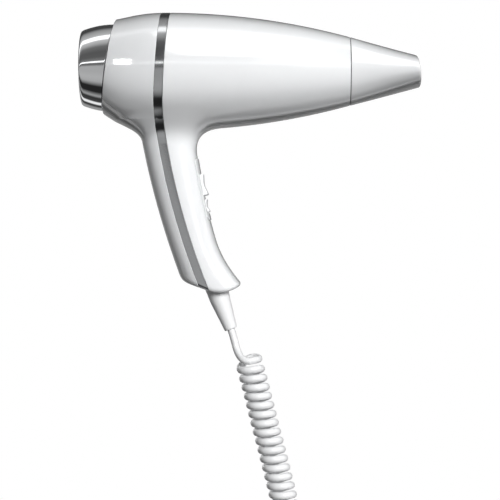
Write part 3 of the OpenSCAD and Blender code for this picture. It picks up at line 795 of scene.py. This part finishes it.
def cap_radius(x):
    """Smooth outline of the cap, behind its small rear edge."""
    t = x - cap_rear_x
    return 27.3 + 0.40 * t - 0.0086 * t * t


def add_collar():
    """Bell-shaped chrome ring; its front edge lies on the tilted parting plane."""
    around = 144
    rear = cap_rear_x
    front_gap = 0.35
    spigot_r = 30.9
    spigot_inner_r = 28.9
    throat_r = 25
    mouth_r = 23.6
    rings = []
    for i in range(around):
        turn = 2 * math.pi * i / around
        c, s = math.cos(turn), math.sin(turn)
        reach = 33.0
        for _ in range(6):  # settles the radius at which the outline meets the plane
            front = cap_plane[0] + (cap_z + reach * s - cap_plane[2]) * math.tan(cap_lean) - front_gap
            reach = cap_radius(front)
        outline = [(rear + 1.2, mouth_r), (rear + 0.25, 23.9), (rear, 24.5), (rear, 26.2),
                   (rear + 0.25, 26.95), (rear + 0.8, 27.4), (rear + 1.6, cap_radius(rear + 1.6))]
        outline += [(x, cap_radius(x)) for x in np.linspace(rear + 3, front - 1.2, 9)]
        outline += [(front - back, cap_radius(front) - drop)
                    for back, drop in ((0.5, 0.05), (0.15, 0.25), (0, 0.7))]
        outline += [(front, spigot_r), (-45.5, spigot_r), (-45.5, spigot_inner_r), (-62, spigot_inner_r),
                    (-62, throat_r), (rear + 7, throat_r), (rear + 7, mouth_r)]
        rings.append([(x, -r * c, cap_z + r * s) for x, r in outline])
    points, faces = sweep_rings(rings, closed=True)
    mesh_piece("chrome_collar", points, faces, "filter_cap", "chrome", ["intake_collar"], sharp=35)


def add_intake_grille():
    """Rings of rounded section on eight spokes, with a hub."""
    place = along_x(box_mm("intake_grille")[0][0], cap_z)
    ring_half_w = 0.7
    ring_half_t = 0.9
    spokes = 8
    spoke_r = 0.6
    spoke_depth = 1.3
    solids = []
    for r in (22.7, 18.5, 14.3, 10.1, 5.9):
        circle = [(r + ring_half_w * math.cos(a), 1 + ring_half_t * math.sin(a))
                  for a in np.linspace(0, 2 * math.pi, 10, endpoint=False)]
        solids.append(lathe(circle, place, 120))
    for i in range(spokes):
        turn = 2 * math.pi * (i + 0.5) / spokes
        arm = Vector((math.cos(turn), math.sin(turn), 0))
        line = [place @ (arm * r + Vector((0, 0, spoke_depth))) for r in (5, 14, 22.9)]
        solids.append(tube(line, spoke_r))
    hub = [(0.01, 0.1), (3.6, 0.1), (4.8, 0.5), (5.4, 1.2), (5.4, 2), (0.01, 2)]
    solids.append(lathe(hub, place, 48))
    points, faces = join(*solids)
    mesh_piece("intake_guard", points, faces, "filter_cap", "grille_plastic", ["intake_grille"], sharp=50)


def add_filter():
    """Woven wire gauze in a ring."""
    place = along_x(box_mm("lint_filter")[0][0], cap_z)
    rim = [(22.4, 0), (24.6, 0), (24.9, 0.3), (24.9, 1.3), (24.6, 1.6), (22.4, 1.6)]
    gauze_r = 22.6
    gauze_x = 0.8
    wire_r = 0.2
    wave_h = 0.25
    pitch = 1.5
    solids = [lathe(rim, place, 96)]
    for k in range(-14, 15):
        across = k * pitch
        half = math.sqrt(gauze_r ** 2 - across ** 2)
        run = np.linspace(-half, half, 25)
        wave = wave_h * np.cos(math.pi * run / pitch + math.pi * k)
        warp = [place @ Vector((across, r, gauze_x + w)) for r, w in zip(run, wave)]
        weft = [place @ Vector((r, across, gauze_x - w)) for r, w in zip(run, wave)]
        solids.append(tube(warp, wire_r, 4))
        solids.append(tube(weft, wire_r, 4))
    points, faces = join(*solids)
    mesh_piece("gauze_filter", points, faces, "filter_cap", "filter_mesh", ["lint_filter"], sharp=50)


# ---- nozzle ----

mouth_x = 173.2
mouth_half_h = 11.4
mouth_half_w = 27
mouth_lean = 0.137
nozzle_wall = 1.8
nozzle_len = mouth_x - lip_x
retainer_inset = 2.6  # room for the retaining ring in the nozzle's rear end
seam_r = float(barrel_radius(np.array(seam_x)))


def nozzle_ring(t, inset):
    """Ring of the nozzle at share t of its length: round at the seam, a wide oval at the mouth."""
    h = seam_r + (mouth_half_h - seam_r) * t - inset
    w = seam_r + (mouth_half_w - seam_r) * ease(t) - inset
    x = lip_x + nozzle_len * t
    ring = []
    for a in np.linspace(0, 2 * math.pi, 96, endpoint=False):
        z = h * math.sin(a)
        ring.append((x - mouth_lean * z * t, w * math.cos(a), barrel_z + z))
    return ring


def add_nozzle():
    """Outer face from the rounded rear edge to the mouth, round its lip, and back along the inside."""
    rear_edge = [(0.35, 0.62), (0, 0.4), (0.08, 0.16), (0.35, 0.03), (0.8, 0)]
    rings = [nozzle_ring(ahead / nozzle_len, inset) for ahead, inset in rear_edge]
    rings += [nozzle_ring(t, 0) for t in np.linspace(0.05, 0.965, 22)]
    lip_r = nozzle_wall / 2
    for angle in (20, 45, 70, 90, 110, 140, 180):
        a = math.radians(angle)
        rings.append(nozzle_ring(1 - lip_r * (1 - math.sin(a)) / nozzle_len, lip_r * (1 - math.cos(a))))
    rings += [nozzle_ring(t, nozzle_wall) for t in np.linspace(0.95, 0.1, 14)]
    rings += [nozzle_ring(ahead / nozzle_len, retainer_inset) for ahead in (5, 0.2)]
    rings = [ring[::-1] for ring in rings]
    points, faces = sweep_rings(rings, closed=True)
    mesh_piece("air_nozzle", points, faces, "nozzle", "white_gloss", ["nozzle_shell"], sharp=50)


# ---- cord outlet ----


def up_to_foot(points, height):
    """Raises the points at one height of the relief until they almost touch the handle's foot."""
    gap = 0.15
    stride = 0.7  # share of the way to the foot in one round
    axis = np.array(relief_place.to_3x3())[:, 2]
    back = np.array(relief_place.inverted())
    local_z = points @ back[2, :3] + back[2, 3]
    top = np.abs(local_z - height) < 0.01
    for _ in range(30):
        points[top] += axis * (stride * (body_field(points[top]) - gap))[:, None]
    return points


def add_relief():
    """Smooth tapered sleeve that rises to the handle's foot, round the ring that it comes out of."""
    neck_r = 7.55
    neck_z = -7.5
    taper = 0.122
    profile = [(0.01, 6.2), (6.9, 6.2), (6.9, 4.2), (5.6, 4.2), (5.6, -6.7), (7.0, -6.7)]
    profile += [(7.0, sleeve_top_z), (7.9, sleeve_top_z), (neck_r, neck_z)]
    profile += [(neck_r - taper * (neck_z - z), z) for z in np.linspace(-9, -29.5, 8)]
    profile += [(4.75, -30.4), (4.4, -31), (3.6, -31), (3.1, -30.4), (0.01, -30.2)]
    points, faces = lathe(profile, relief_place, 72)
    points = up_to_foot(np.array(points, float), sleeve_top_z)
    mesh_piece("strain_sleeve", points, faces, "housing", "cord_white", ["strain_relief"], sharp=40)
    collar = [(5.7, -2), (6.6, -2), (6.9, -2.3), (6.9, -6.0), (6.7, -6.45), (6.3, -6.6), (5.7, -6.6)]
    points, faces = lathe(collar, relief_place, 72)
    mesh_piece("sleeve_ring", points, faces, "housing", "white_gloss", ["relief_collar"], sharp=40)


# ---- plug ----


def add_plug():
    """Round plug body and ribbed sleeve; with the CAD pins they are what hangs on the cord."""
    low, high = box_mm("plug_body")
    place = Matrix.Translation(((low[0] + high[0]) / 2, 0, 0))
    face_z = low[2]
    r = (high[0] - low[0]) / 2
    long = high[2] - face_z
    body = [(0.01, 0), (r - 1.6, 0), (r - 0.6, 0.3), (r - 0.1, 1.2), (r, 2.5), (r, 9.5), (r - 0.3, 11)]
    body += [(r - 1 - 6.4 * (1 - math.cos(a)), 12.5 + 13 * math.sin(a)) for a in np.linspace(0.1, 1.35, 9)]
    body += [(9.6, long - 4), (8.8, long - 1.6), (8.2, long - 0.5), (7.6, long), (0.01, long)]
    points, faces = lathe([(p, face_z + h) for p, h in body], place, 96)
    plug = mesh_piece("plug_shell", points, faces, "housing", "cord_white", ["plug_body"], sharp=40)
    neck = box_mm("plug_relief")
    bottom = neck[0][2]
    top = neck[1][2]
    rib_pitch = 3.6
    sleeve = [(0.01, bottom - 1), (6.6, bottom - 1)]
    for i in range(4):
        z = bottom + 1.5 + rib_pitch * i
        rib = 6.5 - 0.125 * (z - bottom)
        sleeve += [(rib, z - 0.6), (rib, z + 1.2), (rib - 0.7, z + 1.5), (rib - 0.7, z + 2.4)]
    sleeve += [(4.3, top - 0.8), (3.9, top), (0.01, top)]
    points, faces = lathe(sleeve, place, 60)
    boot = mesh_piece("plug_boot", points, faces, "housing", "cord_white", ["plug_relief"], sharp=40)
    return [plug, boot, frame["nodes"]["plug_pins"]]


# ---- inside parts that show through the grilles ----


def add_impeller():
    """Hub with curved, twisted blades."""
    hub = [(0.9, -37), (6, -37), (8.6, -36.4), (10.2, -35), (11, -32.5), (11, -24), (9.4, -24),
           (9.4, -30), (0.9, -30)]
    blades = 7
    root_r = 10.6
    blade_len = 18
    root_pitch = 30
    twist = 28
    backward_sweep = 0.018
    middle_x = -30
    half_chord = 6.4
    edge = 0.25
    front_camber = 0.55
    back_camber = 0.15
    solids = [lathe(hub, along_x(0, barrel_z), 72)]
    for i in range(blades):
        rings = []
        for r in np.linspace(root_r, root_r + blade_len, 8):
            pitch = math.radians(root_pitch + twist * (r - root_r) / blade_len)
            sweep = 2 * math.pi * i / blades + backward_sweep * (r - root_r)
            front = [(s * half_chord, front_camber * (1 - s * s) + edge) for s in np.linspace(-1, 1, 9)]
            back = [(s * half_chord, back_camber * (1 - s * s) - edge) for s in np.linspace(1, -1, 9)]
            loop = []
            for along, thick in front + back:
                run = along * (root_r / r) ** 0.15
                x = run * math.cos(pitch) - thick * math.sin(pitch)
                arc = run * math.sin(pitch) + thick * math.cos(pitch)
                turn = sweep + arc / r
                loop.append((middle_x + x, r * math.sin(turn), barrel_z + r * math.cos(turn)))
            rings.append(loop)
        points, faces = sweep_rings(rings)
        faces.append(tuple(range(len(rings[0])))[::-1])
        faces.append(tuple(range(len(points) - len(rings[0]), len(points))))
        solids.append((points, faces))
    points, faces = join(*solids)
    mesh_piece("fan_wheel", points, faces, "rotor", "fan_plastic", ["impeller"], sharp=40)


def add_heater():
    """Eight turns of fine coiled resistance wire round the mica former."""
    first_x = 42
    spacing = 5.2
    former_r = 21.4
    coil_r = 1.0
    wire_r = 0.22
    loops = 52  # small loops in one turn
    solids = []
    for i in range(8):
        route = []
        for a in np.linspace(0, 2 * math.pi, loops * 8 + 1)[:-3]:
            r = former_r + coil_r * math.cos(loops * a)
            x = first_x + spacing * i + coil_r * math.sin(loops * a)
            route.append((x, r * math.cos(a), barrel_z + r * math.sin(a)))
        solids.append(tube(route, wire_r, 4))
    points, faces = join(*solids)
    mesh_piece("heater_winding", points, faces, "housing", "heater_wire", ["heater_coils"])


# ---- studio ----


def direction(azimuth, elevation):
    """Unit vector from the object; azimuth 0 is towards the camera and 90 is along +X."""
    a, e = math.radians(azimuth), math.radians(elevation)
    return (math.sin(a) * math.cos(e), -math.cos(a) * math.cos(e), math.sin(e))


def math_node(tree, operation, a, b=None):
    node = node_of(tree, "ShaderNodeMath", operation=operation)
    for socket, value in zip(node.inputs, (a, b)):
        if isinstance(value, (int, float)):
            socket.default_value = value
        elif value is not None:
            tree.links.new(value, socket)
    return node.outputs[0]


def lobe(tree, ray, azimuth, elevation, power, strength):
    """Soft light from one side: strongest in its own direction, fading with the angle."""
    dot = node_of(tree, "ShaderNodeVectorMath", operation="DOT_PRODUCT")
    tree.links.new(ray, dot.inputs[0])
    dot.inputs[1].default_value = direction(azimuth, elevation)
    ahead = math_node(tree, "MAXIMUM", dot.outputs["Value"], 0.0)
    return math_node(tree, "MULTIPLY", math_node(tree, "POWER", ahead, power), strength)


# Azimuth, elevation, power and strength of each soft light round the object, as lobe() takes them.
soft_lights = [(28, 20, 60, 37.0), (0, -60, 8, 0.3), (-80, 5, 4, 0.3), (198, 8, 14, 9.0)]
ambient = 0.02
view_gamma = 0.88

# Brightness of the studio that shiny surfaces reflect, by angle in degrees round the barrel:
# 0 is level towards the camera, 90 is overhead and -90 is straight below.
reflected = [(-180, 0.35), (-150, 0.37), (-138, 0.06), (-131, 0.06), (-125, 0.95), (-118, 0.95),
             (-113, 0.08), (-98, 0.05), (-90, 0.4), (-84, 0.25), (-76, 0.03), (-58, 0.03), (-52, 0.22),
             (-43, 0.46), (-30, 0.5), (-15, 0.46), (0, 0.46), (5, 0.17), (10, 0.2), (11, 1.7),
             (13.5, 1.7), (15, 0.26), (26, 0.14), (40, 0.13), (56, 0.2), (66, 0.45), (76, 0.6),
             (81, 1.5), (90, 1.5), (95, 0.55), (116, 0.35), (130, 0.08)]


def studio():
    """White behind the object, soft lights on it, and a striped studio in its reflections."""
    world = bpy.data.worlds.new("studio")
    scene.world = world
    world.use_nodes = True
    tree = world.node_tree
    out = tree.nodes["Background"]
    place = node_of(tree, "ShaderNodeTexCoord")
    ray = place.outputs["Generated"]
    total = ambient
    for light in soft_lights:
        total = math_node(tree, "ADD", lobe(tree, ray, *light), total)
    split = node_of(tree, "ShaderNodeSeparateXYZ")
    tree.links.new(ray, split.inputs[0])
    towards = math_node(tree, "MULTIPLY", split.outputs["Y"], -1.0)
    angle = math_node(tree, "ARCTAN2", split.outputs["Z"], towards)
    share = math_node(tree, "MULTIPLY_ADD", angle, 1 / (2 * math.pi))
    share.node.inputs[2].default_value = 0.5
    ramp = ramp_of(tree, share, [((a + 180) / 360, (v, v, v)) for a, v in reflected])
    path = node_of(tree, "ShaderNodeLightPath")
    gloss = node_of(tree, "ShaderNodeMix", data_type="RGBA")
    tree.links.new(path.outputs["Is Glossy Ray"], gloss.inputs["Factor"])
    tree.links.new(total, gloss.inputs["A"])
    tree.links.new(ramp.outputs["Color"], gloss.inputs["B"])
    back = node_of(tree, "ShaderNodeMix", data_type="RGBA")
    tree.links.new(path.outputs["Is Camera Ray"], back.inputs["Factor"])
    tree.links.new(gloss.outputs["Result"], back.inputs["A"])
    back.inputs["B"].default_value = (1, 1, 1, 1)
    tree.links.new(back.outputs["Result"], out.inputs["Color"])
    scene.view_settings.view_transform = "Standard"
    scene.view_settings.gamma = view_gamma


lamp_aim_x = 50


def add_softbox(name, azimuth, elevation, size, radiance, receivers):
    """Rectangular lamp that shows as a reflection on the given pieces only; sizes are in metres."""
    distance = 1.2
    lamp = bpy.data.lights.new(name, "AREA")
    lamp.shape = "RECTANGLE"
    lamp.size, lamp.size_y = size
    lamp.energy = radiance * math.pi * size[0] * size[1]
    item = bpy.data.objects.new(name, lamp)
    scene.collection.objects.link(item)
    towards = Vector(direction(azimuth, elevation))
    item.location = Vector((lamp_aim_x, 0, barrel_z)) * MM + towards * distance
    item.rotation_mode = "QUATERNION"
    item.rotation_quaternion = towards.to_track_quat("Z", "Y")
    item.visible_diffuse = False
    item.visible_camera = False
    item.light_linking.receiver_collection = receivers


def add_softboxes():
    """Two lamps that only the shiny white plastic reflects."""
    plastic = bpy.data.collections.new("glossy_plastic")
    glossy = [finishes["white_gloss"], finishes["rear_white_painted_shade"]]
    for item in scene.objects:
        if item.type == "MESH" and item.data.materials and item.data.materials[0] in glossy:
            plastic.objects.link(item)
    add_softbox("high_softbox", 15, 54, (0.75, 1.25), 2.6, plastic)
    add_softbox("small_lamp", -36, 14, (0.25, 0.19), 30, plastic)


def add_floor():
    """Pale round floor under the plug, with its edge turned down."""
    clearance = 2
    middle_x = 40
    floor_r = 1150
    z = cad_box[0].z / MM - clearance
    rim = [(1, z), (400, z), (floor_r, z), (floor_r + 40, z - 1), (floor_r + 45, z - 6), (1, z - 6)]
    points, faces = lathe(rim, Matrix.Translation((middle_x, 0, 0)), 96)
    mesh = bpy.data.meshes.new("floor")
    mesh.from_pydata([tuple(Vector(p) * MM) for p in points], [], faces)
    item = bpy.data.objects.new("floor", mesh)
    scene.collection.objects.link(item)
    mesh.materials.append(material_of("floor_paper", (0.82, 0.82, 0.82), 0.7, bump=0.05))
    item.visible_diffuse = False
    item.visible_glossy = False


# ---- the whole scene ----

# CAD nodes that show as they are, by finish.
node_finishes = {
    "dark_plastic": ["upper_switch_module", "lower_switch_module", "inner_duct", "guide_vanes",
                     "outlet_grille", "nozzle_ring"],
    "motor_steel": ["motor_can"],
    "nylon": ["motor_endcap", "cord_clamp"],
    "bronze": ["motor_bushes"],
    "magnet": ["motor_magnets"],
    "circuit_board": ["rectifier_board"],
    "capacitor_film": ["suppression_capacitor"],
    "mica": ["mica_tube", "mica_frame"],
    "steel": ["thermostat", "thermal_fuse", "housing_screws", "clamp_screws", "motor_shaft"],
    "copper": ["armature"],
    "insulation": ["wiring_harness"],
    "pin_nickel": ["plug_pins"],
}

for finish, nodes in node_finishes.items():
    for node in nodes:
        cover(frame["nodes"][node], finish)

add_cord(add_plug())
add_shells()
for rocker, (pivot_z, height, proud) in rockers.items():
    add_rocker(rocker, pivot_z, height, proud)
add_collar()
add_intake_grille()
add_filter()
add_nozzle()
add_relief()
add_impeller()
add_heater()
studio()
add_softboxes()
add_floor()
